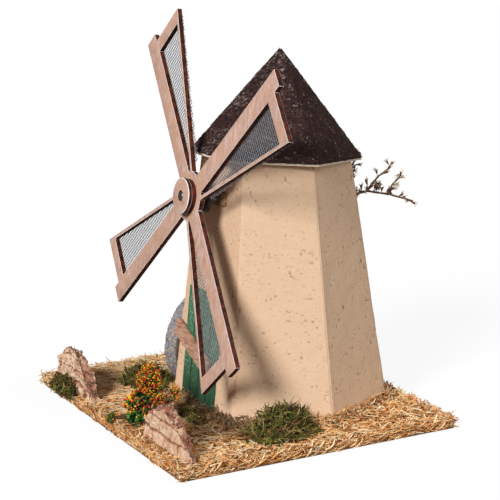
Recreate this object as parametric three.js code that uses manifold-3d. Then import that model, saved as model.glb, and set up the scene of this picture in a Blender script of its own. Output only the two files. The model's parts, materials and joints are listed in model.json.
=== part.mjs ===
// Ornamental windmill on a straw-covered board: a six-sided tower with a pyramid roof,
// and a four-sail rotor that turns on a tilted axle. Millimetres, +Z up.
// The tower's axis is the Z axis, the underside of the board is z = 0, and the door and
// the rotor face -Y.
import * as THREE from "three";
import { mergeVertices } from "three/addons/utils/BufferGeometryUtils.js";
import Module from "manifold-3d";

const wasm = await Module();
wasm.setup();

// ---- driving dimensions (mm, degrees) ----
const board = { width: 200, depth: 170, thickness: 3, centreX: -12, centreY: -21 };
const straw = { depth: 3, gap: 0.1 };

const tower = { footRadius: 63.3, topRadius: 42.7, topZ: 148.8, wall: 5, jointGap: 0.2 };
// The corners beside the front and back walls, as shares of the radius to the side corners.
const towerCorner = { x: 0.6145, y: 0.8057 };
const roof = { eaveRadius: 50, height: 61, sheet: 2, cardThickness: 1.2, tilt: 3.6 };

const axle = { tilt: 8.8, radius: 2.2, bore: 2.3, length: 48 };
const hub = { y: -55.6, z: 131.1, restAngle: 41.35 };
const sail = {
  thickness: 3,
  ringRadius: 14,
  length: 110.6,
  stockHalf: 5.3,
  windowEdge: 5.9,
  barInner: 97.5,
  barOuter: 105.2,
  width: 36.2,
  braceWidth: 1.85,
  braceAngle: 41,
};
const screen = { thickness: 0.5, start: 17, end: 102, inset: 0.5, outerWidth: 34.5, rootWidth: 12.4 };
const disc = { radius: 10.1, rearRadius: 9.7, thickness: 2.4 };
const screw = { headRadius: 2.3, headHeight: 1.5, shankRadius: 1, length: 12, slot: 0.7, well: 3.1 };
const spacer = { radius: 8.8, thickness: 3.6, setBack: 7.6 };
const bearing = { width: 18, height: 7, length: 19, proud: 1 };
const collar = { radius: 5, thickness: 4 };

const door = { width: 40.5, top: 74, thickness: 1.5, offsetX: -4.8, boards: 4, groove: 0.5 };
const plank = { length: 47, width: 10, thickness: 2.6, slant: 20.5, centreX: -12.3, centreZ: 39.6 };
const millstone = { radius: 29.6, thickness: 8.8, eyeRadius: 4, along: 0 };

const glueGap = 0.2;
const roundSegments = 48;

// ---- helpers ----
const radians = THREE.MathUtils.degToRad;
const group = new THREE.Group();

function material(color, roughness, metalness = 0) {
  return new THREE.MeshStandardMaterial({ color, roughness, metalness });
}

function addMesh(parent, name, geometry, look) {
  const mesh = new THREE.Mesh(geometry, look);
  mesh.name = name;
  parent.add(mesh);
  return mesh;
}

function toSolid(geometry) {
  const bare = geometry.clone();
  bare.deleteAttribute("normal");
  bare.deleteAttribute("uv");
  const merged = mergeVertices(bare, 1e-4);
  return new wasm.Manifold(new wasm.Mesh({
    numProp: 3,
    vertProperties: new Float32Array(merged.attributes.position.array),
    triVerts: new Uint32Array(merged.index.array),
  }));
}

function toGeometry(solid) {
  const mesh = solid.getMesh();
  const geometry = new THREE.BufferGeometry();
  geometry.setAttribute("position", new THREE.BufferAttribute(mesh.vertProperties, 3));
  geometry.setIndex(new THREE.BufferAttribute(mesh.triVerts, 1));
  geometry.computeVertexNormals();
  return geometry;
}

function polygon(points) {
  return new THREE.Shape(points.map(([x, y]) => new THREE.Vector2(x, y)));
}

// A flat plate in the XY plane, from z to z + depth.
function plate(shape, z, depth) {
  const options = { depth, bevelEnabled: false, curveSegments: roundSegments / 4 };
  return new THREE.ExtrudeGeometry(shape, options).translate(0, 0, z);
}

// A cylinder on the Z axis, from z to z + depth.
function rod(radius, z, depth, segments = roundSegments) {
  const geometry = new THREE.CylinderGeometry(radius, radius, depth, segments);
  return geometry.rotateX(Math.PI / 2).translate(0, 0, z + depth / 2);
}

function box(width, depth, height, x, y, z) {
  return new THREE.BoxGeometry(width, depth, height).translate(x, y, z);
}

// A repeatable random number from 0 to 1.
function randomSource(seed) {
  let state = seed;
  return () => {
    state = (state * 16807) % 2147483647;
    return state / 2147483647;
  };
}

// ---- six-sided forms ----
const sides = 6;
const sideAngle = (2 * Math.PI) / sides;
const apothemRatio = Math.cos(sideAngle / 2);

// A regular six-sided pyramid or frustum with corners on the X axis.
function sixSided(bottomRadius, topRadius, bottomZ, topZ) {
  const height = topZ - bottomZ;
  const geometry = new THREE.CylinderGeometry(topRadius, bottomRadius, height, sides);
  return geometry.rotateX(Math.PI / 2).rotateZ(Math.PI / 2).translate(0, 0, bottomZ + height / 2);
}

// The wedge between two directions from the Z axis, held back from its neighbours by half the
// joint gap.
function sector(start, end) {
  const reach = 200;
  const middle = (start + end) / 2;
  const half = tower.jointGap / 2 / Math.sin((end - start) / 2);
  const tip = [half * Math.cos(middle), half * Math.sin(middle)];
  const corner = (angle) => [tip[0] + reach * Math.cos(angle), tip[1] + reach * Math.sin(angle)];
  return toSolid(plate(polygon([tip, corner(start), corner(end)]), -10, 300));
}

// The tower's front and back walls are wider than its four side walls.
function towerRadius(z) {
  const share = (z - board.thickness) / (tower.topZ - board.thickness);
  return tower.footRadius + (tower.topRadius - tower.footRadius) * share;
}

function towerCorners(z) {
  const radius = towerRadius(z);
  const x = towerCorner.x * radius;
  const y = towerCorner.y * radius;
  const corners = [[radius, 0], [x, y], [-x, y], [-radius, 0], [-x, -y], [x, -y]];
  return corners.map((corner) => new THREE.Vector2(...corner));
}

function sideNormal(from, to) {
  return new THREE.Vector2(to.y - from.y, from.x - to.x).normalize();
}

// An outline with every side moved in by the same distance.
function insetOutline(corners, distance) {
  return corners.map((corner, index) => {
    const before = sideNormal(corners[(index + sides - 1) % sides], corner);
    const after = sideNormal(corner, corners[(index + 1) % sides]);
    const shift = before.clone().add(after).multiplyScalar(distance / (1 + before.dot(after)));
    return corner.clone().sub(shift);
  });
}

// The walls that things lean on or hang from: the turn from the front wall, and how far the
// wall stands from the axis as a share of the tower's radius.
const sideReach = towerCorner.y / Math.hypot(1 - towerCorner.x, towerCorner.y);
const front = { turn: 0, reach: towerCorner.y };
const frontLeft = { turn: -Math.acos(sideReach * (1 - towerCorner.x) / towerCorner.y), reach: sideReach };

function wallSlope(wall) {
  const drop = (tower.footRadius - tower.topRadius) * wall.reach;
  return Math.atan(drop / (tower.topZ - board.thickness));
}

// A solid that follows the tower's outside, moved in by a depth measured through the wall.
function towerFrustum(depth, bottomZ, topZ) {
  const inset = depth / Math.cos(wallSlope(front));
  const ring = (z) => insetOutline(towerCorners(z), inset).map(({ x, y }) => [x, y, z]);
  return wasm.Manifold.hull([...ring(bottomZ), ...ring(topZ)]);
}

// Moves a geometry drawn on the plane y = 0, facing -Y, onto the outside of a wall at height z.
function ontoWall(geometry, wall, z) {
  const distance = towerRadius(z) * wall.reach;
  return geometry.rotateX(-wallSlope(wall)).translate(0, -distance, z).rotateZ(wall.turn);
}

// ---- base ----
const wood = material(0xb58a58, 0.8);
const strawLook = material(0xd8b36a, 0.95);

function boardSlab(grow, z, depth) {
  return box(
    board.width + grow, board.depth + grow, depth,
    board.centreX, board.centreY, z + depth / 2,
  );
}

addMesh(group, "base_board", boardSlab(0, 0, board.thickness), wood);

const strawBottom = board.thickness + straw.gap;
const strawTop = strawBottom + straw.depth;

// ---- millstone, on edge in the straw, leaning against the front left wall ----
function millstoneSolid(grow) {
  const wheel = toSolid(rod(millstone.radius + grow, -grow, millstone.thickness + 2 * grow));
  const eye = toSolid(rod(millstone.eyeRadius - grow, -5, millstone.thickness + 10));
  const centre = millstone.radius * Math.cos(wallSlope(frontLeft));
  const geometry = toGeometry(wheel.subtract(eye));
  geometry.rotateX(Math.PI / 2).translate(millstone.along, -glueGap - 0.3, 0);
  return toSolid(ontoWall(geometry, frontLeft, board.thickness + 0.8 + centre));
}

function strawMat() {
  const slab = toSolid(boardSlab(0, strawBottom, straw.depth));
  const footprint = towerFrustum(-0.6, board.thickness, strawTop + 5);
  return toGeometry(slab.subtract(footprint).subtract(millstoneSolid(0.3)));
}

addMesh(group, "straw_mat", strawMat(), strawLook);
addMesh(group, "millstone", toGeometry(millstoneSolid(0)), material(0x8c8d94, 0.9));

// ---- frame of the axle, tilted up at its outer end ----
// Local +Z points out along the axle, local +X is +X, and z = 0 is the front of the sails.
const axleAngle = Math.PI / 2 - radians(axle.tilt);

function axleFrame(name) {
  const frame = new THREE.Group();
  frame.name = name;
  frame.position.set(0, hub.y, hub.z);
  frame.rotation.x = axleAngle;
  group.add(frame);
  return frame;
}

function fromAxleFrame(geometry) {
  return geometry.clone().rotateX(axleAngle).translate(0, hub.y, hub.z);
}

// Where the axle meets the front wall's outside, as a distance behind the sails' front.
function wallDistance() {
  const wallY = (z) => -towerRadius(z) * front.reach;
  let distance = 0;
  for (let step = 0; step < 20; step += 1) {
    const z = hub.z - distance * Math.sin(radians(axle.tilt));
    distance = (wallY(z) - hub.y) / Math.cos(radians(axle.tilt));
  }
  return distance;
}

const wallAt = wallDistance();
const bearingFront = -wallAt + bearing.proud;

function bearingBlock(grow) {
  return box(
    bearing.width + grow, bearing.height + grow, bearing.length + grow,
    0, 0, bearingFront - bearing.length / 2,
  );
}

// ---- tower walls ----
const stucco = material(0xe3caa6, 0.95);

// The plane under the roof, tilted with it: everything above it is cut away from the walls.
function aboveWalls() {
  const block = box(300, 300, 120, 0, 0, 60);
  return toSolid(block.rotateX(-radians(roof.tilt)).translate(0, 0, tower.topZ));
}

const wallShell = towerFrustum(0, board.thickness, tower.topZ + 12)
  .subtract(towerFrustum(tower.wall, board.thickness - 0.5, tower.topZ + 12.5))
  .subtract(aboveWalls());

const bearingHole = toSolid(fromAxleFrame(bearingBlock(0.6)));
const cornerAngle = Math.atan2(towerCorner.y, towerCorner.x);
const wallSpans = {
  wall_front: [Math.PI + cornerAngle, 2 * Math.PI - cornerAngle],
  wall_front_right: [-cornerAngle, 0],
  wall_back_right: [0, cornerAngle],
  wall_back: [cornerAngle, Math.PI - cornerAngle],
  wall_back_left: [Math.PI - cornerAngle, Math.PI],
  wall_front_left: [Math.PI, Math.PI + cornerAngle],
};
for (const [name, [start, end]] of Object.entries(wallSpans)) {
  const panel = wallShell.intersect(sector(start, end)).subtract(bearingHole);
  addMesh(group, name, toGeometry(panel), stucco.clone());
}

// ---- door and the plank nailed across it ----
function doorBoard() {
  const bottom = strawTop + glueGap;
  const height = (door.top - bottom) / Math.cos(wallSlope(front));
  let solid = toSolid(box(
    door.width, door.thickness, height,
    door.offsetX, -door.thickness / 2 - glueGap, height / 2,
  ));
  const pitch = door.width / door.boards;
  for (let index = 1; index < door.boards; index += 1) {
    const cutter = new THREE.CylinderGeometry(door.groove, door.groove, height + 10, 4);
    cutter.rotateX(Math.PI / 2);
    const x = door.offsetX - door.width / 2 + index * pitch;
    cutter.translate(x, -door.thickness - glueGap, height / 2);
    solid = solid.subtract(toSolid(cutter));
  }
  return ontoWall(toGeometry(solid), front, bottom);
}

function doorPlank() {
  const geometry = box(plank.length, plank.thickness, plank.width, 0, 0, 0);
  geometry.rotateY(radians(plank.slant));
  const depth = door.thickness + 2 * glueGap + plank.thickness / 2;
  geometry.translate(plank.centreX, -depth, 0);
  return ontoWall(geometry, front, plank.centreZ);
}

addMesh(group, "door", doorBoard(), material(0x1f7a52, 0.75));
addMesh(group, "door_plank", doorPlank(), material(0xa9825f, 0.85));

// ---- roof, seated on the slant-cut walls ----
const roofFrame = new THREE.Group();
roofFrame.position.set(0, 0, tower.topZ);
roofFrame.rotation.x = -radians(roof.tilt);
group.add(roofFrame);

const cardBottom = 0.3;
const sheetBottom = cardBottom + roof.cardThickness + glueGap;

addMesh(
  roofFrame, "eaves_card",
  sixSided(roof.eaveRadius - 0.6, roof.eaveRadius - 0.9, cardBottom, cardBottom + roof.cardThickness),
  material(0xd9cfc0, 0.9),
);

function roofShell() {
  const outer = sixSided(roof.eaveRadius, 0.01, sheetBottom, sheetBottom + roof.height);
  const pitch = Math.atan(roof.height / (roof.eaveRadius * apothemRatio));
  const drop = roof.sheet / Math.cos(pitch);
  const inner = sixSided(roof.eaveRadius, 0.01, sheetBottom - drop, sheetBottom - drop + roof.height);
  return toSolid(outer).subtract(toSolid(inner));
}

const roofSheet = material(0x4a3530, 0.8);
const roofNames = ["back_right", "back", "back_left", "front_left", "front", "front_right"];
const shell = roofShell();
roofNames.forEach((name, index) => {
  const panel = shell.intersect(sector(index * sideAngle, (index + 1) * sideAngle));
  addMesh(roofFrame, `roof_${name}`, toGeometry(panel), roofSheet.clone());
});

// ---- bearing block, through the front wall ----
const bearingFrame = axleFrame("bearing_frame");
const block = toSolid(bearingBlock(0)).subtract(toSolid(rod(axle.bore, bearingFront - 60, 80)));
addMesh(bearingFrame, "bearing_block", toGeometry(block), material(0xc49a6c, 0.8));

// ---- rotor ----
const rotor = axleFrame("rotor");
const spin = new THREE.Group();
spin.rotation.z = radians(hub.restAngle);
rotor.add(spin);

const copper = material(0xc08f78, 0.6);
const steel = material(0x9aa0a6, 0.35, 0.9);

// A point of a sail: out along its stock, and across it, clockwise seen from the front.
function sailPoint(index, out, across) {
  const angle = Math.PI / 2 + (index * Math.PI) / 2;
  const x = out * Math.cos(angle) + across * Math.sin(angle);
  const y = out * Math.sin(angle) - across * Math.cos(angle);
  return new THREE.Vector2(x, y);
}

// A point of the ring, at an angle measured from a sail's stock.
function ringPoint(index, angle) {
  return sailPoint(index, sail.ringRadius * Math.cos(angle), sail.ringRadius * Math.sin(angle));
}

function ringPoints(index, from, to) {
  const points = [];
  const steps = Math.max(2, Math.round(Math.abs(to - from) / radians(9)));
  for (let step = 0; step <= steps; step += 1) {
    points.push(ringPoint(index, from + ((to - from) * step) / steps));
  }
  return points;
}

const stockAngle = Math.asin(sail.stockHalf / sail.ringRadius);
const windowAngle = Math.asin(sail.windowEdge / sail.ringRadius);
const braceAngle = radians(sail.braceAngle);
const braceRoot = [sail.ringRadius * Math.cos(braceAngle), sail.ringRadius * Math.sin(braceAngle)];
const braceSlope = (sail.width - braceRoot[1]) / (sail.barOuter - braceRoot[0]);
const braceDrop = sail.braceWidth / Math.cos(Math.atan(braceSlope));

// How far across the brace's outer edge lies at a distance out from the centre.
function braceAcross(out) {
  return braceRoot[1] + (out - braceRoot[0]) * braceSlope;
}

// The angle on the ring at which the brace's inner edge leaves it.
function braceInnerAngle() {
  const across = braceAcross(0) - braceDrop;
  const tilt = Math.atan(braceSlope);
  return tilt + Math.asin((across * Math.cos(tilt)) / sail.ringRadius);
}

function crossOutline() {
  const points = [];
  for (const index of [3, 2, 1, 0]) {
    points.push(ringPoint(index, -stockAngle));
    points.push(sailPoint(index, sail.length, -sail.stockHalf));
    points.push(sailPoint(index, sail.length, sail.stockHalf));
    points.push(sailPoint(index, sail.barOuter, sail.stockHalf));
    points.push(sailPoint(index, sail.barOuter, sail.width));
    points.push(...ringPoints(index, braceAngle, Math.PI / 2 - stockAngle).slice(0, -1));
  }
  return points;
}

function windowOutline(index) {
  return [
    ...ringPoints(index, braceInnerAngle(), windowAngle),
    sailPoint(index, sail.barInner, sail.windowEdge),
    sailPoint(index, sail.barInner, braceAcross(sail.barInner) - braceDrop),
  ];
}

function sailCross() {
  let cross = toSolid(plate(new THREE.Shape(crossOutline()), -sail.thickness, sail.thickness));
  for (let index = 0; index < 4; index += 1) {
    cross = cross.subtract(toSolid(plate(new THREE.Shape(windowOutline(index)), -10, 20)));
  }
  return toGeometry(cross.subtract(toSolid(rod(axle.radius + 0.2, -20, 40))));
}

addMesh(spin, "sail_cross", sailCross(), copper);

const wire = material(0x9b9ea2, 0.5, 0.6);
for (let index = 0; index < 4; index += 1) {
  const outline = [
    sailPoint(index, screen.start, screen.inset),
    sailPoint(index, screen.end, screen.inset),
    sailPoint(index, screen.end, screen.outerWidth),
    sailPoint(index, screen.start, screen.rootWidth),
  ];
  const z = -sail.thickness - glueGap - screen.thickness;
  const geometry = plate(new THREE.Shape(outline), z, screen.thickness);
  addMesh(spin, `mesh_screen_${index + 1}`, geometry, wire.clone());
}

const rearDiscZ = glueGap;
const frontDiscZ = rearDiscZ + disc.thickness + glueGap;
const frontDiscFace = frontDiscZ + disc.thickness;
const screwSeat = frontDiscFace - 1.2;
const axleEnd = frontDiscZ - glueGap;

function drilled(geometry, radius, from) {
  return toSolid(geometry).subtract(toSolid(rod(radius, from, 80)));
}

const rearDisc = drilled(rod(disc.rearRadius, rearDiscZ, disc.thickness), axle.radius + 0.2, -20);
const frontDisc = drilled(rod(disc.radius, frontDiscZ, disc.thickness), screw.shankRadius + 0.2, -20)
  .subtract(toSolid(rod(screw.well, screwSeat - 0.1, 20)));
addMesh(spin, "hub_disc_rear", toGeometry(rearDisc), copper.clone());
addMesh(spin, "hub_disc_front", toGeometry(frontDisc), copper.clone());

// Pan-head screw with a cross recess, driven into the end of the axle.
function hubScrew() {
  const top = screwSeat + screw.headHeight;
  const profile = [
    [0, screwSeat - screw.length],
    [screw.shankRadius, screwSeat - screw.length + 1],
    [screw.shankRadius, screwSeat],
    [screw.headRadius, screwSeat],
    [screw.headRadius, top - 0.6],
    [screw.headRadius * 0.75, top - 0.15],
    [0, top],
  ];
  const body = new THREE.LatheGeometry(profile.map(([r, z]) => new THREE.Vector2(r, z)), roundSegments);
  let solid = toSolid(body.rotateX(Math.PI / 2));
  for (const turn of [0, Math.PI / 2]) {
    const slot = box(screw.headRadius * 1.25, screw.slot, 2, 0, 0, top + 0.2);
    solid = solid.subtract(toSolid(slot.rotateZ(turn)));
  }
  return toGeometry(solid);
}

addMesh(spin, "hub_screw", hubScrew(), steel.clone());

const axleRod = drilled(
  rod(axle.radius, axleEnd - axle.length, axle.length),
  screw.shankRadius + 0.2, screwSeat - screw.length - 1,
);
addMesh(spin, "axle", toGeometry(axleRod), steel);

function ringOnAxle(radius, z, thickness) {
  return toGeometry(drilled(rod(radius, z, thickness), axle.radius + glueGap, z - 20));
}

const collarZ = bearingFront - bearing.length - 0.5 - collar.thickness;
addMesh(
  spin, "spacer_ring",
  ringOnAxle(spacer.radius, -spacer.setBack - spacer.thickness, spacer.thickness),
  material(0x17181a, 0.4),
);
addMesh(spin, "axle_collar", ringOnAxle(collar.radius, collarZ, collar.thickness), material(0xb98d5e, 0.8));

// ---- broken brick walls on the front edge of the board ----
const brickLook = material(0xc4937b, 0.95);

// Each runs from a front face to a back face; their outlines are x and height above the straw.
const ruins = {
  ruin_wall_front: {
    frontY: -99,
    front: [
      [25, 0], [26, 10], [37, 17.5], [51, 20.7], [58, 19], [71, 12.7], [80, 8], [86.5, 2.7], [87, 0],
    ],
    backY: -92.5,
    back: [
      [29, 0], [33, 18.5], [39, 21.5], [52, 24.5], [59.5, 20.5], [66, 16], [75.5, 10], [78, 3], [78.5, 0],
    ],
  },
  ruin_wall_left: {
    frontY: -104,
    front: [
      [-86, 0], [-92, 11], [-91.5, 16.5], [-82, 23.6], [-72, 28], [-61.5, 26.6], [-53.5, 17.5], [-40, 0],
    ],
    backY: -97,
    back: [
      [-90, 0], [-92, 16], [-85, 24.5], [-75, 25.3], [-67, 24.6], [-58, 21.6], [-46, 16], [-41, 0],
    ],
  },
};

const ruinBottom = strawTop + glueGap;

function ruinSolid(ruin, grow) {
  const front = ruin.front.map(([x, height]) => [x, ruin.frontY - grow, ruinBottom + height + grow]);
  const back = ruin.back.map(([x, height]) => [x, ruin.backY + grow, ruinBottom + height + grow]);
  const foot = front.concat(back).map(([x, y]) => [x, y, ruinBottom]);
  return wasm.Manifold.hull([...front, ...back, ...foot]);
}

for (const [name, ruin] of Object.entries(ruins)) {
  addMesh(group, name, toGeometry(ruinSolid(ruin, 0)), brickLook.clone());
}

// ---- moss and flowers ----
// A lump with a flat underside and an uneven surface.
function lump(size, seed) {
  const random = randomSource(seed);
  const ball = mergeVertices(bareBall());
  const position = ball.attributes.position;
  for (let index = 0; index < position.count; index += 1) {
    const reach = 0.86 + 0.14 * random();
    const z = Math.max(position.getZ(index), -0.25);
    position.setXYZ(
      index,
      (position.getX(index) * reach * size[0]) / 2,
      (position.getY(index) * reach * size[1]) / 2,
      ((z + 0.25) / 1.25) * reach * size[2],
    );
  }
  return ball;
}

function bareBall() {
  const ball = new THREE.SphereGeometry(1, 14, 9);
  ball.deleteAttribute("normal");
  ball.deleteAttribute("uv");
  return ball.rotateX(Math.PI / 2);
}

const moss = material(0x5d6326, 1);
const greenery = {
  moss_by_tower: { size: [25, 50, 18], at: [61, -32], turn: 30, look: moss, seed: 11 },
  moss_by_ruin: { size: [36, 12, 13], at: [-72, -106.5], turn: 0, look: moss, seed: 12 },
  moss_by_millstone: { size: [40, 26, 14], at: [-58, -59], turn: 10, look: moss, seed: 13 },
  moss_by_door: { size: [28, 9, 5.5], at: [14, -63.5], turn: 0, look: moss, seed: 14 },
  flower_bush: { size: [42, 30, 34], at: [8, -90.5], turn: 0, look: material(0x2f6d25, 1), seed: 15 },
};

// What the plants press against, slightly grown.
const hardNeighbours = [
  towerFrustum(-2, board.thickness, tower.topZ / 2),
  millstoneSolid(0.3),
  ruinSolid(ruins.ruin_wall_front, 0.3),
  ruinSolid(ruins.ruin_wall_left, 0.3),
];

for (const [name, plant] of Object.entries(greenery)) {
  const geometry = lump(plant.size, plant.seed);
  geometry.rotateZ(radians(plant.turn)).translate(plant.at[0], plant.at[1], strawTop + glueGap);
  const solid = hardNeighbours.reduce((left, neighbour) => left.subtract(neighbour), toSolid(geometry));
  addMesh(group, name, toGeometry(solid), plant.look.clone());
}

// ---- dry tree behind the tower ----
// Each branch is a tapered run of short rods through its points.
const branches = [
  { radius: 2, points: [[-30, 59, strawTop + 0.3], [-27, 58, 40], [-24, 56, 75], [-20, 58, 108]] },
  {
    radius: 1.1,
    points: [[-20, 58, 106], [-15, 61.7, 118.5], [-12, 69.6, 120.2], [-6, 81, 118], [0, 94.2, 113.7]],
  },
  { radius: 0.8, points: [[-12.3, 69, 120], [-12, 77.7, 128.7], [-12, 85.8, 133.2]] },
  { radius: 0.8, points: [[-6.5, 80, 118], [-6, 84, 124], [-6, 89.8, 129]] },
  { radius: 1, points: [[-20, 58, 105], [-19, 57, 118], [-17, 60, 132], [-15, 63.5, 142]] },
  { radius: 1.1, points: [[-22, 57, 92], [-30, 64, 108], [-38, 74, 118], [-46, 78, 122]] },
];

function branchSolid({ radius, points }) {
  let solid = null;
  for (let index = 1; index < points.length; index += 1) {
    const from = new THREE.Vector3(...points[index - 1]);
    const to = new THREE.Vector3(...points[index]);
    const along = to.clone().sub(from);
    const startRadius = radius * 0.86 ** (index - 1);
    const length = along.length() + radius * 0.6;
    const geometry = new THREE.CylinderGeometry(startRadius * 0.86, startRadius, length, 7);
    const turn = new THREE.Quaternion().setFromUnitVectors(new THREE.Vector3(0, 1, 0), along.normalize());
    geometry.applyQuaternion(turn);
    const middle = from.clone().add(to).multiplyScalar(0.5);
    geometry.translate(middle.x, middle.y, middle.z + (index === 1 ? radius * 0.3 : 0));
    solid = solid ? solid.add(toSolid(geometry)) : toSolid(geometry);
  }
  return solid;
}

const tree = branches.map(branchSolid).reduce((joined, branch) => joined.add(branch));
addMesh(group, "dry_tree", toGeometry(tree), material(0x8a6a50, 0.9));

export default group;
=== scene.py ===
import itertools
import json
import math

import bmesh
import bpy
import numpy as np
from mathutils import Matrix, Vector


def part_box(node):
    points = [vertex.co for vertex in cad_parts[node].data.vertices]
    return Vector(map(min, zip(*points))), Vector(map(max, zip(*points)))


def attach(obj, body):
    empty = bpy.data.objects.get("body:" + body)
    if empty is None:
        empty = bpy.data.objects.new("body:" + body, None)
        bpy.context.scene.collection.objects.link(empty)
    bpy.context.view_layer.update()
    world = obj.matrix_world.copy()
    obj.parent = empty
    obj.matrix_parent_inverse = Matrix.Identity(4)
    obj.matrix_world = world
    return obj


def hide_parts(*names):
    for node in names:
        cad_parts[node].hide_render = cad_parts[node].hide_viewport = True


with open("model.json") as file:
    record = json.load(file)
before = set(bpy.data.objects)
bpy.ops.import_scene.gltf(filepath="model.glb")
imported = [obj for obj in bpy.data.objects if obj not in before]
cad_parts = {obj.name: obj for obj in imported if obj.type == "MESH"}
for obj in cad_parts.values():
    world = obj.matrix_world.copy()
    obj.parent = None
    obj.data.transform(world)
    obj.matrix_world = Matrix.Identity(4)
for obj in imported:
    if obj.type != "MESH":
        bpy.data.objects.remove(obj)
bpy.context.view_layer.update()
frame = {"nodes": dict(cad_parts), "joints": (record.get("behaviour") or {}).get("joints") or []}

# The scene is in metres. Shapes below are worked out in millimetres and scaled as they are made.
MM = 0.001
UP = (0, 0, 1)


# ---- numbers ----
def read_vectors(items, key):
    """A property of mesh vertices or normals, one row each."""
    values = np.zeros(len(items) * 3)
    items.foreach_get(key, values)
    return values.reshape(-1, 3)


def node_points(name):
    """A CAD node's vertices at rest, in millimetres."""
    return read_vectors(frame["nodes"][name].data.vertices, "co") / MM


def node_box(name):
    """A CAD node's lowest and highest corners at rest, in millimetres."""
    low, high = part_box(name)
    return np.array(low) / MM, np.array(high) / MM


def columns(*parts):
    return np.column_stack(parts)


def unit(vectors):
    length = np.linalg.norm(vectors, axis=-1, keepdims=True)
    return vectors / np.maximum(length, 1e-9)


# Large odd numbers that scatter the values of neighbouring cells.
HASH_AXES = (73856093, 19349663, 83492791)
HASH_SEED = 2654435761
HASH_MIX = 1274126177


def cell_value(cells, seed):
    """A repeatable number from -1 to 1 for each whole-number cell."""
    x, y, z = (cells[:, axis].astype(np.uint64) * np.uint64(HASH_AXES[axis]) for axis in range(3))
    mixed = x ^ y ^ z ^ np.uint64(seed * HASH_SEED)
    mixed = (mixed ^ (mixed >> np.uint64(13))) * np.uint64(HASH_MIX)
    mixed = mixed ^ (mixed >> np.uint64(16))
    return (mixed % np.uint64(65536)).astype(float) / 32767.5 - 1


def bumps(points, size, seed):
    """Noise from -1 to 1; size is how far apart its bumps are, one number or one per axis."""
    place = points / size
    cell = np.floor(place)
    share = place - cell
    share = share * share * (3 - 2 * share)
    cell = cell.astype(np.int64)
    total = np.zeros(len(points))
    for corner in itertools.product((0, 1), repeat=3):
        weight = np.prod(np.where(np.array(corner) == 1, share, 1 - share), axis=1)
        total += weight * cell_value(cell + np.array(corner), seed)
    return total


OCTAVE_TURN = np.array(Matrix.Rotation(0.9, 3, Vector((0.4, 0.5, 0.77))))


def rough(points, size, seed, octaves=3):
    """Noise with finer and finer layers, each turned so that no grid shows."""
    total = np.zeros(len(points))
    turned = points
    for octave in range(octaves):
        total += bumps(turned, np.asarray(size) / 2**octave, seed + octave) / 2**octave
        turned = turned @ OCTAVE_TURN
    return total


def step(values, low, high):
    """0 below low, 1 above high and smooth in between."""
    share = np.clip((values - low) / (high - low), 0, 1)
    return share * share * (3 - 2 * share)


# ---- mesh making ----
def make_piece(name, points, faces, look, replaced=(), values=None, smooth=True, body="tower"):
    """A piece from points in millimetres. values holds numbers or colours per point for its material."""
    mesh = bpy.data.meshes.new(name)
    mesh.from_pydata((np.asarray(points) * MM).tolist(), [], faces)
    mesh.materials.append(look)
    for key, per_point in (values or {}).items():
        per_point = np.asarray(per_point, float)
        if per_point.ndim == 1:
            attribute = mesh.attributes.new(key, "FLOAT", "POINT")
            attribute.data.foreach_set("value", per_point)
        else:
            attribute = mesh.attributes.new(key, "FLOAT_COLOR", "POINT")
            opaque = columns(per_point, np.ones(len(per_point)))
            attribute.data.foreach_set("color", opaque.ravel())
    mesh.polygons.foreach_set("use_smooth", [smooth] * len(mesh.polygons))
    mesh.update()
    return add_piece(name, mesh, body, replaced)


def add_object(name, data):
    made = bpy.data.objects.new(name, data)
    bpy.context.scene.collection.objects.link(made)
    return made


def add_piece(name, mesh, body, replaced=()):
    piece = add_object(name, mesh)
    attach(piece, body)
    if replaced:
        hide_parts(*replaced)
    return piece


WELD_GAP = 0.002
FLAT_ANGLE = math.radians(0.5)
ROUNDED_ANGLE = math.radians(25)
SHADED_SHARP_ANGLE = math.radians(38)


def welded(node):
    """A CAD node's mesh with the vertices that its file splits joined again."""
    shape = bmesh.new()
    shape.from_mesh(frame["nodes"][node].data)
    bmesh.ops.remove_doubles(shape, verts=shape.verts, dist=WELD_GAP * MM)
    return shape


def remeshed(node, voxel):
    """A CAD node's shape in small even faces: points and outward normals in mm, and faces."""
    mesh = bpy.data.meshes.new("remesh_work")
    shape = welded(node)
    shape.to_mesh(mesh)
    shape.free()
    work = add_object("remesh_work", mesh)
    remesh = work.modifiers.new("even", "REMESH")
    remesh.mode = "VOXEL"
    remesh.voxel_size = voxel * MM
    smooth = work.modifiers.new("soften", "SMOOTH")
    smooth.factor = 0.5
    smooth.iterations = 2
    bpy.context.view_layer.update()
    fine = work.evaluated_get(bpy.context.evaluated_depsgraph_get()).to_mesh()
    points = read_vectors(fine.vertices, "co") / MM
    normals = read_vectors(fine.vertex_normals, "vector")
    faces = [tuple(face.vertices) for face in fine.polygons]
    work.to_mesh_clear()
    bpy.data.objects.remove(work)
    bpy.data.meshes.remove(mesh)
    return points, normals, faces


def resurfaced(name, node, shape, relief, look, values=None):
    """Stands for a CAD node with each point of its remeshed shape moved outwards by relief."""
    points, normals, faces = shape
    make_piece(name, points + normals * relief[:, None], faces, look, (node,), values)


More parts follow.
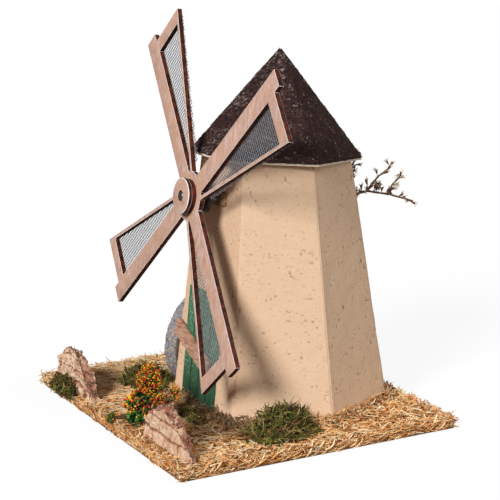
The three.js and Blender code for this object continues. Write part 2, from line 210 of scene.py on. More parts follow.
def softened(node, edge, looks, body, shortest=0.0):
    """A CAD node's own shape with its sharp edges rounded; the rounding takes the second look.

    Edges shorter than shortest, such as those of small holes, stay sharp and don't limit the rest.
    """
    shape = welded(node)
    bmesh.ops.dissolve_limit(
        shape, angle_limit=FLAT_ANGLE, verts=shape.verts, edges=shape.edges, use_dissolve_boundaries=False
    )
    long = [e for e in shape.edges if len(e.link_faces) == 2 and e.calc_length() > shortest * MM]
    sharp = [e for e in long if e.calc_face_angle() > ROUNDED_ANGLE]
    bmesh.ops.bevel(
        shape, geom=sharp, offset=edge * MM, segments=2, profile=0.5, affect="EDGES",
        clamp_overlap=True, material=len(looks) - 1,
    )
    mesh = bpy.data.meshes.new(f"{node}_look")
    shape.to_mesh(mesh)
    shape.free()
    for look in looks:
        mesh.materials.append(look)
    mesh.polygons.foreach_set("use_smooth", [True] * len(mesh.polygons))
    mesh.set_sharp_from_angle(angle=SHADED_SHARP_ANGLE)
    return add_piece(f"{node}_look", mesh, body, (node,))


def tubes(paths, radii, sides=4, flat=1.0, hint=UP):
    """Closed tubes along many paths. paths is (count, rings, 3) and radii (count, rings), in mm.

    flat is how thick a tube is along hint, as a share of its width.
    """
    count, rings, _ = paths.shape
    along = unit(np.gradient(paths, axis=1))
    upward = np.broadcast_to(np.asarray(hint, float), paths.shape)
    side = unit(np.cross(along, upward))
    over = np.cross(side, along)
    angles = 2 * np.pi * (np.arange(sides) + 0.5) / sides
    around = np.cos(angles)[:, None] * side[:, :, None] + flat * np.sin(angles)[:, None] * over[:, :, None]
    points = paths[:, :, None] + radii[:, :, None, None] * around
    tube, ring, corner = np.meshgrid(np.arange(count), np.arange(rings - 1), np.arange(sides), indexing="ij")
    here = (tube * rings + ring) * sides
    after = (corner + 1) % sides
    walls = np.stack([here + corner, here + sides + corner, here + sides + after, here + after], axis=-1)
    first = np.arange(count)[:, None] * rings * sides + np.arange(sides)
    last = first[:, ::-1] + (rings - 1) * sides
    faces = walls.reshape(-1, 4).tolist() + first.tolist() + last.tolist()
    return points.reshape(-1, 3), faces


def repeated(shape_points, shape_faces, places, sizes, turns):
    """Copies of one small closed shape. turns is (count, 3, 3), sizes (count, 3)."""
    points = np.einsum("nij,nkj->nki", turns, shape_points[None] * sizes[:, None]) + places[:, None]
    offsets = np.arange(len(places))[:, None, None] * len(shape_points)
    faces = (offsets + np.array(shape_faces)[None]).reshape(-1, len(shape_faces[0])).tolist()
    return points.reshape(-1, 3), faces


def joined(*parts):
    """One list of points and faces from several."""
    points, faces, start = [], [], 0
    for part_points, part_faces in parts:
        points.append(part_points)
        faces.extend([tuple(index + start for index in face) for face in part_faces])
        start += len(part_points)
    return np.concatenate(points), faces


def ball(detail):
    """An icosphere of radius 1 as points and triangles."""
    shape = bmesh.new()
    bmesh.ops.create_icosphere(shape, subdivisions=detail, radius=1)
    points = np.array([vertex.co for vertex in shape.verts])
    faces = [tuple(vertex.index for vertex in face.verts) for face in shape.faces]
    shape.free()
    return points, faces


def random_turns(rng, count):
    """Random rotations, as (count, 3, 3)."""
    first = unit(rng.normal(size=(count, 3)))
    second = unit(np.cross(first, rng.normal(size=(count, 3))))
    return np.stack([first, second, np.cross(first, second)], axis=-1)


# ---- colours and materials ----
def rgb(code):
    """A linear colour from a screen colour such as "e7c4a3"."""
    screen = [int(code[start:start + 2], 16) for start in (0, 2, 4)]
    linear = [((c / 255 + 0.055) / 1.055) ** 2.4 if c > 10 else c / 255 / 12.92 for c in screen]
    return (*linear, 1.0)


class Look:
    """One material, with short ways to wire its nodes. Sizes are in millimetres on the object."""

    def __init__(self, name, roughness=0.9, metallic=0.0, shine=0.5):
        self.material = bpy.data.materials.new(name)
        self.material.use_nodes = True
        self.nodes = self.material.node_tree.nodes
        self.links = self.material.node_tree.links
        self.shader = self.nodes["Principled BSDF"]
        self.shader.inputs["Roughness"].default_value = roughness
        self.shader.inputs["Metallic"].default_value = metallic
        self.shader.inputs["Specular IOR Level"].default_value = shine
        self.coordinates = self.nodes.new("ShaderNodeTexCoord")

    def node(self, kind, inputs, **settings):
        made = self.nodes.new(kind)
        for key, value in settings.items():
            setattr(made, key, value)
        for key, value in inputs.items():
            if isinstance(value, bpy.types.NodeSocket):
                self.links.new(value, made.inputs[key])
            else:
                made.inputs[key].default_value = rgb(value) if isinstance(value, str) else value
        return made

    def noise(self, size, detail=3.0, roughness=0.6, shift=0.0):
        """Noise from 0 to 1; size is the distance between its bumps, one number or one per axis."""
        sizes = size if isinstance(size, tuple) else (size, size, size)
        scale = [1 / (MM * value) for value in sizes]
        place = self.coordinates.outputs["Object"]
        scaling = {0: place, 1: scale, 2: (shift,) * 3}
        scaled = self.node("ShaderNodeVectorMath", scaling, operation="MULTIPLY_ADD")
        inputs = {"Vector": scaled.outputs[0], "Scale": 1.0, "Detail": detail, "Roughness": roughness}
        return self.node("ShaderNodeTexNoise", inputs).outputs[0]

    def value(self, name, output="Fac"):
        """A number, or with output "Color" a colour, that the mesh holds at each point."""
        return self.node("ShaderNodeAttribute", {}, attribute_name=name).outputs[output]

    def ramp(self, value, *stops):
        """A colour for each value; stops are (value, colour)."""
        made = self.node("ShaderNodeValToRGB", {"Fac": value})
        elements = made.color_ramp.elements
        while len(elements) < len(stops):
            elements.new(1.0)
        for element, (position, colour) in zip(elements, stops):
            element.position, element.color = position, rgb(colour)
        return made.outputs["Color"]

    def mix(self, share, first, second, blend="MIX"):
        inputs = {0: share, 6: first, 7: second}
        return self.node("ShaderNodeMix", inputs, data_type="RGBA", blend_type=blend).outputs[2]

    def maths(self, operation, first, second=0.0):
        return self.node("ShaderNodeMath", {0: first, 1: second}, operation=operation).outputs[0]

    def times(self, first, second):
        return self.maths("MULTIPLY", first, second)

    def step(self, value, low, high):
        inputs = {"Value": value, "From Min": low, "From Max": high}
        return self.node("ShaderNodeMapRange", inputs, interpolation_type="SMOOTHSTEP").outputs[0]

    def spots(self, low, high, size, **noise):
        """Where noise of this size rises from low to high, from 0 to 1."""
        return self.step(self.noise(size, **noise), low, high)

    def shaded(self, colour, grain, amount, share=1.0):
        """A colour made up to amount darker and lighter by noise."""
        low, high = 1 - amount, 1 + amount
        inputs = {"Value": grain, "From Min": 0.25, "From Max": 0.75, "To Min": low, "To Max": high}
        grey = self.node("ShaderNodeMapRange", inputs).outputs[0]
        return self.mix(share, colour, grey, "MULTIPLY")

    def facing(self, direction):
        """How nearly the surface looks along a direction of the object, from 0 to 1, either way round."""
        inputs = {0: self.coordinates.outputs["Normal"], 1: direction}
        dot = self.node("ShaderNodeVectorMath", inputs, operation="DOT_PRODUCT")
        return self.maths("ABSOLUTE", dot.outputs["Value"])

    def level(self, heights):
        """0 at the first height above the floor and 1 at the second, in millimetres."""
        up = self.node("ShaderNodeSeparateXYZ", {0: self.coordinates.outputs["Object"]}).outputs["Z"]
        inputs = {"Value": up, "From Min": heights[0] * MM, "From Max": heights[1] * MM}
        return self.node("ShaderNodeMapRange", inputs).outputs[0]

    def finish(self, colour, height=None, depth=0.1):
        """Sets the colour, and a bump whose depth is in millimetres."""
        self.links.new(colour, self.shader.inputs["Base Color"])
        if height is not None:
            inputs = {"Height": height, "Strength": 1.0, "Distance": depth * MM}
            bump = self.node("ShaderNodeBump", inputs)
            self.links.new(bump.outputs["Normal"], self.shader.inputs["Normal"])
        return self.material


def stucco_look():
    look = Look("stucco", roughness=0.92)
    grain = look.noise(0.6, detail=5)
    brushed = look.noise((5, 5, 0.6), detail=3, shift=6)
    plain = look.mix(look.noise(18, detail=2), "e7c4a3", "dfbb9a")
    grained = look.shaded(plain, grain, 0.14, share=0.5)
    lined = look.shaded(grained, brushed, 0.08, share=0.6)
    faint = look.spots(0.61, 0.72, (1.7, 1.7, 0.9), detail=2, shift=3)
    stained = look.mix(look.times(faint, 0.4), lined, "b28664")
    pitted = look.mix(look.value("pit"), stained, "8e6446")
    return look.finish(pitted, grain, 0.12)


def roof_look():
    look = Look("roof_sheet", roughness=0.8, shine=0.3)
    fine = look.noise(0.6, detail=5)
    swing = look.times(look.maths("SUBTRACT", fine, 0.5), 0.9)
    height = look.maths("ADD", look.value("height"), swing)
    stops = ((0.15, "140908"), (0.45, "2e1713"), (0.7, "442621"), (1.0, "68463e"))
    dark = look.ramp(height, *stops)
    patches = look.spots(0.4, 0.7, 8, detail=2, shift=5)
    flecks = look.spots(0.60, 0.68, 0.9, detail=3, shift=9)
    share = look.times(patches, flecks)
    worn = look.times(look.value("worn"), look.step(height, 0.3, 0.7))
    flecked = look.mix(look.maths("MAXIMUM", share, worn), dark, "beaaa2")
    return look.finish(flecked, fine, 0.3)


def sail_look(axis):
    """Painted on the faces across the axis, and burnt where the board is cut."""
    look = Look("sail_board", roughness=0.7, shine=0.25)
    grain = look.noise(0.6, detail=4)
    streaks = look.spots(0.3, 0.7, (2.2, 2.2, 7), detail=4, shift=2)
    plain = look.mix(streaks, "be9481", "dab8aa")
    warmed = look.mix(look.spots(0.4, 0.7, 9, detail=3, shift=8), plain, "cea288")
    face = look.shaded(warmed, grain, 0.22, share=0.9)
    burnt = look.mix(look.spots(0.35, 0.65, 3.5, detail=3), "2a0e09", "6a2e1a")
    colour = look.mix(look.step(look.facing(axis), 0.6, 0.75), burnt, face)
    return look.finish(colour, grain, 0.08)


def edge_highlight_look():
    # Near-white on the rounded edges of the sail and front hub boards: a painted highlight where light
    # catches the edges.
    look = Look("sail_edge_highlight", roughness=0.6)
    grain = look.noise(1.4, detail=3)
    colour = look.mix(look.step(grain, 0.3, 0.5), "e8cec2", "fffffe")
    return look.finish(colour, grain, 0.02)


def plain_look(name, dark, light, size, depth, detail=3, **finish):
    """Two colours mixed by noise that also makes the bump."""
    look = Look(name, **finish)
    grain = look.noise(size, detail=detail)
    return look.finish(look.mix(grain, dark, light), grain, depth)


def wood_look(name, dark, light, grain_size, depth=0.12):
    look = Look(name, roughness=0.85)
    streaks = look.noise(grain_size, detail=5, roughness=0.65)
    fine = look.noise(0.5, detail=3, shift=4)
    colour = look.mix(look.step(streaks, 0.3, 0.7), dark, light)
    return look.finish(look.shaded(colour, fine, 0.14, share=0.6), streaks, depth)


def door_look():
    """Green paint, darker towards the bottom as painted shade, and dry-brushed with a paler one towards the
    top.
    """
    look = Look("door_paint", roughness=0.75)
    streaks = look.noise((0.5, 2, 5), detail=5, roughness=0.7)
    low, high = node_box("door")
    height = look.level((low[2], high[2]))
    # Painted shade: the green is darker towards the bottom of the door.
    paint = look.mix(look.step(height, 0.1, 0.55), "1e4a30", "32704c")
    rough = look.shaded(paint, look.noise(0.8, detail=4, shift=2), 0.6)
    brushed = look.spots(0.5, 0.66, (0.7, 2, 1.6), detail=4, shift=7)
    patches = look.spots(0.3, 0.6, 9, detail=2, shift=3)
    upper = look.times(look.step(height, 0.0, 0.55), 0.9)
    dry = look.times(look.times(brushed, patches), upper)
    colour = look.mix(dry, rough, "b2c6a8")
    return look.finish(look.mix(look.value("groove"), colour, "04140c"), streaks, 0.3)


def stone_look():
    look = Look("millstone_grey", roughness=0.95)
    specks = look.noise(1.3, detail=5, roughness=0.75)
    dark, light = (0.3, "3e3c46"), (0.72, "cec8c4")
    colour = look.ramp(specks, dark, (0.45, "76747e"), (0.58, "9c989e"), light)
    yellowed = look.times(look.spots(0.54, 0.62, 1.5, detail=3, shift=5), 0.8)
    return look.finish(look.mix(yellowed, colour, "c4b084"), specks, 0.4)


def brick_look():
    look = Look("brick", roughness=0.97)
    grain = look.noise(0.8, detail=5, roughness=0.75)
    face = look.mix(look.spots(0.35, 0.65, 5, detail=4, shift=2), "d6a886", "f4d4b4")
    mortar = look.mix(look.noise(2, detail=4, shift=6), "703e2c", "bc7c60")
    colour = look.mix(look.value("mortar"), face, mortar)
    cracked = look.mix(look.value("crack"), colour, "3e2018")
    return look.finish(look.shaded(cracked, grain, 0.34), grain, 0.35)


def tinted_look(name, roughness=0.85, size=0.8, amount=0.25, depth=0.05):
    """A look whose colour comes from the tint at each point, broken up by fine noise."""
    look = Look(name, roughness=roughness)
    grain = look.noise(size, detail=4)
    return look.finish(look.shaded(look.value("tint", "Color"), grain, amount), grain, depth)


# ---- measures taken from the frame ----
board_low, board_high = node_box("base_board")
straw_top = node_box("straw_mat")[1][2]
tower_foot = node_box("wall_front_right")[1][0]
roof_points = np.concatenate([node_points(f"roof_{side}") for side in ("front", "back")])
roof_tip = roof_points[roof_points[:, 2].argmax()]

spin = next(joint for joint in frame["joints"] if joint["name"] == "rotor_spin")
hub_centre = np.array(spin["pos_m"]) / MM
axle_out = unit(np.array(spin["axis"]))
axle_right = np.array([1.0, 0.0, 0.0])
axle_up = np.cross(axle_out, axle_right)

SIDES = ("front", "back", "back_right", "back_left", "front_left", "front_right")


# ---- tower walls ----
def side_directions(node):
    """Level directions: from the tower's axis to the middle of a side, and at right angles to that."""
    out = unit(node_points(node).mean(axis=0) * (1, 1, 0))
    return out, np.array([-out[1], out[0], 0])


def wall_piece(side, look):
    node = f"wall_{side}"
    shape = points, normals, _ = remeshed(node, voxel=0.7)
    out, along = side_directions(node)
    flat_place = columns(points @ along, points[:, 2], points @ out)
    swell = 0.10 * rough(flat_place, 7.0, 21) + 0.05 * rough(flat_place, 1.6, 22)
    patches = step(rough(flat_place, 16.0, 25), -0.3, 0.7)
    wide = step(bumps(flat_place, (2.1, 1.0, 3.0), 23), 0.56, 0.84)
    tall = step(bumps(flat_place, (0.9, 1.7, 3.0), 24), 0.72, 0.92)
    on_face = step(np.abs(normals @ out), 0.75, 0.95)
    pit = np.maximum(wide * (0.2 + 0.6 * patches), 0.8 * tall) * on_face
    worn_edge = 0.35 * step(rough(points, 5.0, 26), 0.35, 1.1) * (1 - on_face)
    relief = 0.14 + swell - 0.4 * pit - worn_edge
    resurfaced(f"{node}_stucco", node, shape, relief, look, {"pit": pit})


# How much an edge's ends count against their height when the corners of a wall's face are picked.
CORNER_LEAN = 0.3


def outer_edges(node):
    """The two side edges of a wall's outer face, each as its foot and its top."""
    out, along = side_directions(node)
    faces = [face for face in frame["nodes"][node].data.polygons if Vector(out).dot(face.normal) > 0.9]
    corners = sorted({index for face in faces for index in face.vertices})
    outer = node_points(node)[corners]
    across = outer @ along * CORNER_LEAN
    edges = []
    for side in (-1, 1):
        foot = outer[(side * across - outer[:, 2]).argmax()]
        top = outer[(side * across + outer[:, 2]).argmax()]
        edges.append((foot, top))
    return edges, out


JOINT_RADIUS = 0.9
JOINT_STOPS = np.linspace(0.004, 0.985, 60)
# Of the front right wall's two corners, the one beside the front wall has its foot at a lower x than this.
FRONT_CORNER_LIMIT = tower_foot * 0.8
PLAIN_CRACK = 0.3
DEEP_CRACK = 0.9


def joint_piece(look):
    """Filler in the joints between the wall boards. It has cracked low down, most beside the front board."""
    paths = []
    for side in ("back_left", "back_right", "front_left", "front_right"):
        edges, out = outer_edges(f"wall_{side}")
        for foot, top in edges:
            stops = JOINT_STOPS[:, None]
            path = foot * (1 - stops) + top * stops
            deepest = DEEP_CRACK if side == "front_right" and foot[0] < FRONT_CORNER_LIMIT else PLAIN_CRACK
            low_down = 1 - step(JOINT_STOPS, 0.35, 0.55)
            cracked = deepest * step(rough(path, 9.0, 28), -0.6, 0.3) * low_down
            wobble = 0.05 * bumps(path, 3.0, 29)
            paths.append(path - out * (JOINT_RADIUS * 1.02 + cracked + wobble)[:, None])
    paths = np.array(paths)
    points, faces = tubes(paths, np.full(paths.shape[:2], JOINT_RADIUS), 8)
    make_piece("wall_joints", points, faces, look)


# ---- roof ----
ROOF_SEAM_TURN = np.pi / 3


def roof_piece(side, look):
    node = f"roof_{side}"
    points, normals, faces = remeshed(node, voxel=0.5)
    out, along = side_directions(node)
    slope_place = columns(points @ along * 0.6, points[:, 2], points @ out)
    ridges = 1 - np.abs(rough(slope_place, 2.0, 31, 2))
    lumps = rough(slope_place, 1.2, 33, 2)
    broad = rough(slope_place, 9.0, 35, 2)
    relief = 0.6 * ridges + 0.4 * lumps
    points = points + normals * (0.2 + 0.4 * (relief - 0.45) + 0.12 * broad)[:, None]
    height = np.clip(0.45 + 0.5 * (relief - 0.4), 0, 1)
    below_tip = roof_tip[2] - points[:, 2]
    seam = np.abs(np.arctan2(points[:, 1], points[:, 0]) / ROOF_SEAM_TURN % 1)
    seam = np.minimum(seam, 1 - seam) * np.hypot(points[:, 0], points[:, 1]) * ROOF_SEAM_TURN
    near_tip = step(-below_tip, -9.0, -1.0)
    on_ridge = step(-seam, -2.2, -0.4) * step(-below_tip, -44.0, -6.0) * 0.9
    speckle = step(rough(points, 1.1, 37), 0.0, 0.5)
    weathered = 0.0
    if side in ("front_left", "front"):
        weathered = 0.75 * step(rough(points, 9.0, 38), -0.3, 0.8)
    scattered = 0.7 * step(rough(slope_place, 1.2, 39), 0.75, 1.1)
    worn = np.maximum(np.maximum(np.maximum(near_tip, on_ridge), weathered) * speckle, scattered)
    values = {"height": height, "worn": worn}
    make_piece(f"{node}_sheet", points, faces, look, (node,), values)


# ---- door, plank and millstone ----
DOOR_STRIPS = 4


def door_piece(look):
    """One board, with grooves that make it look like four strips."""
    shape = points, normals, _ = remeshed("door", voxel=0.45)
    low, high = node_box("door")
    strip = (high[0] - low[0]) / DOOR_STRIPS
    across = (points[:, 0] - low[0]) / strip
    to_groove = np.abs(across - np.round(across)) * strip
    inner = (np.round(across) > 0) & (np.round(across) < DOOR_STRIPS)
    groove = step(-to_groove, -0.75, -0.3) * inner * step(np.abs(normals[:, 1]), 0.5, 0.9)
    grain = rough(points, (0.9, 3.0, 12.0), 41)
    resurfaced("door_boards", "door", shape, 0.10 * grain - 0.05, look, {"groove": groove})


def plank_piece(look):
    shape = points, _, _ = remeshed("door_plank", voxel=0.45)
    corners = node_points("door_plank")
    middle = corners.mean(axis=0)
    right_end = corners[corners[:, 0] > np.quantile(corners[:, 0], 0.7)].mean(axis=0)
    grain_along = unit(right_end - middle)
    grain_across = np.cross(grain_along, (0, 1, 0))
    moved = points - middle
    local = columns(moved @ grain_along / 14, moved @ grain_across / 0.9, points[:, 1] / 2)
    resurfaced("door_plank_wood", "door_plank", shape, 0.12 * rough(local, 1.0, 43), look)


def millstone_piece(look):
    shape = points, _, _ = remeshed("millstone", voxel=0.6)
    chip = 0.9 * step(rough(points, 6.0, 47), 0.5, 1.2)
    relief = 0.28 * rough(points, 2.4, 45) - chip
    resurfaced("millstone_rock", "millstone", shape, relief, look)


# ---- broken brick walls ----
COURSE = 7.6
BRICK = 16.0
# How far into a course and a brick the pattern starts, as shares of them.
FIRST_COURSE = 0.08
FIRST_BRICK = 0.25


def ruin_piece(node, look, jagged, rock):
    """Courses of brick with sunk joints. rock is how rough and folded the bricks are, from 0 up.

    jagged is how far the free end and the top crumble, in millimetres.
    """
    points, normals, faces = remeshed(node, voxel=0.45)
    low, high = node_box(node)
    up = points[:, 2] - low[2]
    warp = 0.7 + rock
    bent = points + warp * columns(*(rough(points, 6.0, seed) for seed in (51, 52, 53)))
    courses = (bent[:, 2] - low[2]) / COURSE + FIRST_COURSE
    course = np.floor(courses)
    to_course = np.abs(courses - np.round(courses)) * COURSE
    shifted = (bent[:, 0] - low[0]) / BRICK + 0.5 * (course % 2) + FIRST_BRICK
    to_upright = np.abs(shifted - np.round(shifted)) * BRICK
    joint = np.maximum(step(-to_course, -0.9, -0.35), step(-to_upright, -0.8, -0.3))
    brick_cell = columns(np.floor(shifted), course, np.zeros(len(points))).astype(np.int64)
    set_back = 0.45 * cell_value(brick_cell, 55)
    face_on = step(-normals[:, 1], 0.75, 0.93)
    broken = (1 - face_on) * step(up, 1.0, 4.0)
    grit = rough(points, 1.5, 56)
    folds = np.abs(rough(points, 2.8, 57))
    crevice = step(-folds, -0.22, -0.05)
    relief = 0.3 * grit + 0.6 * rock * rough(points, 4.5, 60) - 0.3 * face_on * crevice * rock
    crumble = jagged * (0.5 + 0.5 * rough(points, 3.4, 58, 4)).clip(0, None) + 1.0 * crevice
    amount = relief + face_on * (set_back - 0.2 - 1.1 * joint) - broken * crumble
    points = points + normals * amount[:, None]
    reddish = broken * step(rough(points, 3.5, 59), -0.7, 0.5) * step(normals[:, 2], -1.4, 0.9)
    mortar = np.clip(face_on * joint + np.maximum(reddish, 0.75 * broken * (normals[:, 0] > 0.5)), 0, 1)
    holes = step(-grit, 0.75, 1.2) * 0.6
    crack = np.clip(broken * crevice * 0.8 + rock * face_on * crevice * 0.5 + holes, 0, 1)
    values = {"mortar": mortar, "crack": crack}
    make_piece(f"{node}_bricks", points, faces, look, (node,), values)


# ---- rotor ----
def in_plane(points):
    """Places on the rotor: across and up in its plane, and out along the axle."""
    moved = points - hub_centre
    return columns(moved @ axle_right, moved @ axle_up, moved @ axle_out)


def from_plane(local):
    return hub_centre + local @ np.stack([axle_right, axle_up, axle_out])


def outline_of(local):
    """The corners of a flat convex plate, in order round its middle."""
    corners = np.unique(np.round(local[:, :2], 2), axis=0)
    middle = corners.mean(axis=0)
    order = np.argsort(np.arctan2(corners[:, 1] - middle[1], corners[:, 0] - middle[0]))
    return corners[order]


def stock_direction(corners):
    """The direction of the plate's long edge whose line passes nearest the hub."""
    edges = np.roll(corners, -1, axis=0) - corners
    lengths = np.linalg.norm(edges, axis=1)
    directions = edges / lengths[:, None]
    offsets = np.abs(corners[:, 0] * directions[:, 1] - corners[:, 1] * directions[:, 0])
    offsets[lengths < lengths.max() * 0.7] = np.inf
    return directions[offsets.argmin()]


def span_inside(corners, start, direction):
    """Where a line enters and leaves a convex outline whose corners run anticlockwise."""
    enter, leave = -np.inf, np.inf
    for here, after in zip(corners, np.roll(corners, -1, axis=0)):
        edge = after - here
        inward = np.array([-edge[1], edge[0]])
        height, slope = (start - here) @ inward, direction @ inward
        if abs(slope) < 1e-9:
            if height < 0:
                return None
        elif slope > 0:
            enter = max(enter, -height / slope)
        else:
            leave = min(leave, -height / slope)
    return (enter, leave) if leave - enter > 0.6 else None


WIRE_PITCH = 1.9
WIRE_RADIUS = 0.19
# How far a cut wire may stand past the plate's outline.
WIRE_OVERHANG = 1.1


def screen_piece(index, look, rng):
    """Plain-woven wire, cut to the plate's outline, with ends of uneven length."""
    node = f"mesh_screen_{index}"
    local = in_plane(node_points(node))
    corners = outline_of(local)
    depth = (local[:, 2].min() + local[:, 2].max()) / 2
    stock = stock_direction(corners)
    across = np.array([-stock[1], stock[0]])
    parts = []
    for direction, sideways, phase in ((stock, across, 0), (across, stock, 1)):
        reach = corners @ sideways
        lines = np.arange(math.ceil(reach.min() / WIRE_PITCH), math.floor(reach.max() / WIRE_PITCH) + 1)
        for line in lines:
            span = span_inside(corners, sideways * line * WIRE_PITCH, direction)
            if span is None:
                continue
            first = span[0] - rng.uniform(0.0, WIRE_OVERHANG)
            last = span[1] + rng.uniform(0.0, WIRE_OVERHANG)
            halves = np.arange(math.ceil(first / WIRE_PITCH * 2), math.floor(last / WIRE_PITCH * 2) + 1)
            stops = np.unique(np.concatenate([[first], halves * WIRE_PITCH / 2, [last]]))
            lift = WIRE_RADIUS * np.cos(np.pi * (stops / WIRE_PITCH + line + phase))
            flat_places = np.outer(stops, direction) + sideways * line * WIRE_PITCH
            wobble = 0.05 * np.sin(stops * 0.7 + line)
            flat_places += wobble[:, None] * sideways
            path = from_plane(columns(flat_places, depth + lift))
            parts.append(tubes(path[None], np.full((1, len(path)), WIRE_RADIUS), 4, 1.0, axle_out))
    points, faces = joined(*parts)
    make_piece(f"{node}_wires", points, faces, look, (node,), body="rotor")


# ---- straw ----
STRAW_COLOURS = ("fce4ba", "f4ce98", "ecb87a", "e0a05c", "c48044", "925a30")
# Tables of colours hold how often each comes up.
CHIP_TINTS = dict(zip(STRAW_COLOURS, (0.12, 0.22, 0.24, 0.18, 0.14, 0.10)))
LONG_TINTS = dict(zip(STRAW_COLOURS, (0.4, 0.3, 0.16, 0.08, 0.04, 0.02)))
# Long straws lie mostly along this direction, in radians round the Z axis.
LONG_HEADING = 0.9


def heading_vectors(headings, rises):
    """Directions from angles in radians: round the Z axis, and up."""
    level = np.cos(rises)
    return columns(np.cos(headings) * level, np.sin(headings) * level, np.sin(rises))


STRAND_RADII = np.array([0.75, 1.0, 1.0, 0.6])
STRAND_SIDES = 4
STRAND_POINTS = len(STRAND_RADII) * STRAND_SIDES
STRAND_FLAT = 0.4


def strands(rng, centres, forward, lengths, widths, faces_up=(0.2, 0.1, 1.0)):
    """Bent flattened straws or leaves. faces_up is the way their flat sides look."""
    count = len(centres)
    up = np.broadcast_to(unit(np.asarray(faces_up, float)), centres.shape)
    sideways = unit(np.cross(forward, up))
    stops = np.linspace(-0.5, 0.5, len(STRAND_RADII))
    bend = rng.normal(0, 0.12, count) * lengths
    sag = rng.uniform(-0.02, 0.08, count) * lengths
    curve = (0.25 - stops**2) * 4
    paths = centres[:, None] + forward[:, None] * (stops[None, :, None] * lengths[:, None, None])
    paths += sideways[:, None] * (curve[None, :, None] * bend[:, None, None])
    paths += up[:, None] * (curve[None, :, None] * sag[:, None, None])
    return tubes(paths, widths[:, None] / 2 * STRAND_RADII, STRAND_SIDES, STRAND_FLAT, up[:, None])


def tint_points(rng, count, tints, spread=0.18, each=STRAND_POINTS):
    """One colour for each strand, repeated over its points."""
    colours = np.array([rgb(tint)[:3] for tint in tints])
    chosen = colours[rng.choice(len(tints), size=count, p=list(tints.values()))]
    return np.repeat(chosen * rng.uniform(1 - spread, 1 + spread, (count, 1)), each, axis=0)


def one_tint(colour, points):
    return np.tile(rgb(colour)[:3], (len(points), 1))


def kept_above(points, height):
    """Lifts any point lower than height over the floor up to it, in place."""
    points[:, 2] = points[:, 2].clip(height, None)


def foot_outline():
    """The six corners of the tower's foot, anticlockwise, as x and y."""
    feet = np.array([foot[:2] for side in SIDES for foot, top in outer_edges(f"wall_{side}")[0]])
    order = np.argsort(np.arctan2(feet[:, 1], feet[:, 0]))
    return np.roll(feet[order], 1, axis=0).reshape(6, 2, 2).mean(axis=1)


FOOT = foot_outline()
FOOT_AFTER = np.roll(FOOT, -1, axis=0)
FOOT_ALONG = unit(FOOT_AFTER - FOOT)
FOOT_OUT = columns(FOOT_ALONG[:, 1], -FOOT_ALONG[:, 0])


def wall_gap(places):
    """How far each place lies outside the tower's foot; negative is inside."""
    return ((places[:, None] - FOOT[None]) * FOOT_OUT[None]).sum(axis=2).max(axis=1)


def flat_places(rng, count):
    """Places on the mat outside the tower, and how much each belongs to the long straws, 0 to 1."""
    low, high = board_low[:2] + 1.0, board_high[:2] - 1.0
    places = rng.uniform(low, high, (count, 2))
    places = places[wall_gap(places) > -1.0]
    inside = (places - low) / (high - low)
    return places, step(-inside[:, 0], -0.5, -0.25)


def lying(rng, places, spread):
    """Centres for straws lying on the mat, up to about spread above and below its top."""
    level = rng.uniform(-spread, 1.2 * spread, len(places))
    waves = 0.9 * rough(columns(places, places[:, 0] * 0), 14.0, 61)
    return columns(places, straw_top + level + waves)


def straw_chips(rng, count):
    """Short chunky bits, fewest among the long straws."""
    places, long_share = flat_places(rng, count)
    places = places[rng.uniform(0, 1, len(places)) > 0.75 * long_share]
    count = len(places)
    headings = rng.uniform(0, 2 * np.pi, count)
    forward = heading_vectors(headings, rng.normal(0, 0.22, count))
    lengths = rng.gamma(5.0, 1.0, count).clip(2.5, 9)
    return strands(rng, lying(rng, places, 1.0), forward, lengths, rng.uniform(0.6, 1.7, count))


def long_straw(rng, count):
    """Long thin straws, most of them in their own part of the mat."""
    places, long_share = flat_places(rng, count)
    places = places[rng.uniform(0, 1, len(places)) < 0.12 + 0.88 * long_share]
    count = len(places)
    headings = LONG_HEADING + rng.normal(0, 0.55, count)
    forward = heading_vectors(headings, rng.normal(0, 0.1, count))
    centres = lying(rng, places, 1.1)
    return strands(rng, centres, forward, rng.uniform(7, 16, count), rng.uniform(0.4, 0.8, count))


def heaped_straw(rng, count):
    """Straw pushed up against the foot of the tower."""
    side = rng.integers(0, len(FOOT), count)
    share = rng.uniform(0, 1, count)[:, None]
    out = rng.gamma(1.6, 1.4, count).clip(0.2, 9)
    places = FOOT[side] * (1 - share) + FOOT_AFTER[side] * share + FOOT_OUT[side] * out[:, None]
    height = rng.uniform(0, 6.5, count) * np.exp(-out / 4)
    headings = np.arctan2(FOOT_ALONG[side, 1], FOOT_ALONG[side, 0]) + rng.normal(0, 0.8, count)
    forward = heading_vectors(headings, rng.normal(0, 0.55, count))
    centres = columns(places, straw_top + height)
    return strands(rng, centres, forward, rng.uniform(3, 9, count), rng.uniform(0.4, 1.1, count))


def edge_straw(rng, count):
    """Straw glued over the board's edges, some of it hanging out."""
    size = board_high - board_low
    along_x = rng.uniform(0, 1, count) < size[0] / (size[0] + size[1])
    first_side = rng.uniform(0, 1, count) < 0.5
    share = rng.uniform(0, 1, count)
    proud = rng.uniform(-0.8, 0.9, count)
    across_x = np.where(first_side, board_low[0] - proud, board_high[0] + proud)
    across_y = np.where(first_side, board_low[1] - proud, board_high[1] + proud)
    x = np.where(along_x, board_low[0] + share * size[0], across_x)
    y = np.where(along_x, across_y, board_low[1] + share * size[1])
    z = rng.uniform(1.4, straw_top + 0.6, count)
    headings = np.where(along_x, 0.0, np.pi / 2) + rng.normal(0, 0.12, count)
    lengths = rng.uniform(2.5, 10, count)
    rises = rng.normal(0, 0.6, count).clip(-1.1, 1.1)
    rises = np.sign(rises) * np.minimum(np.abs(rises), np.arcsin(np.clip((z - 0.6) * 2 / lengths, 0, 1)))
    forward = heading_vectors(headings, rises)
    return strands(rng, columns(x, y, z), forward, lengths, rng.uniform(0.5, 1.2, count))


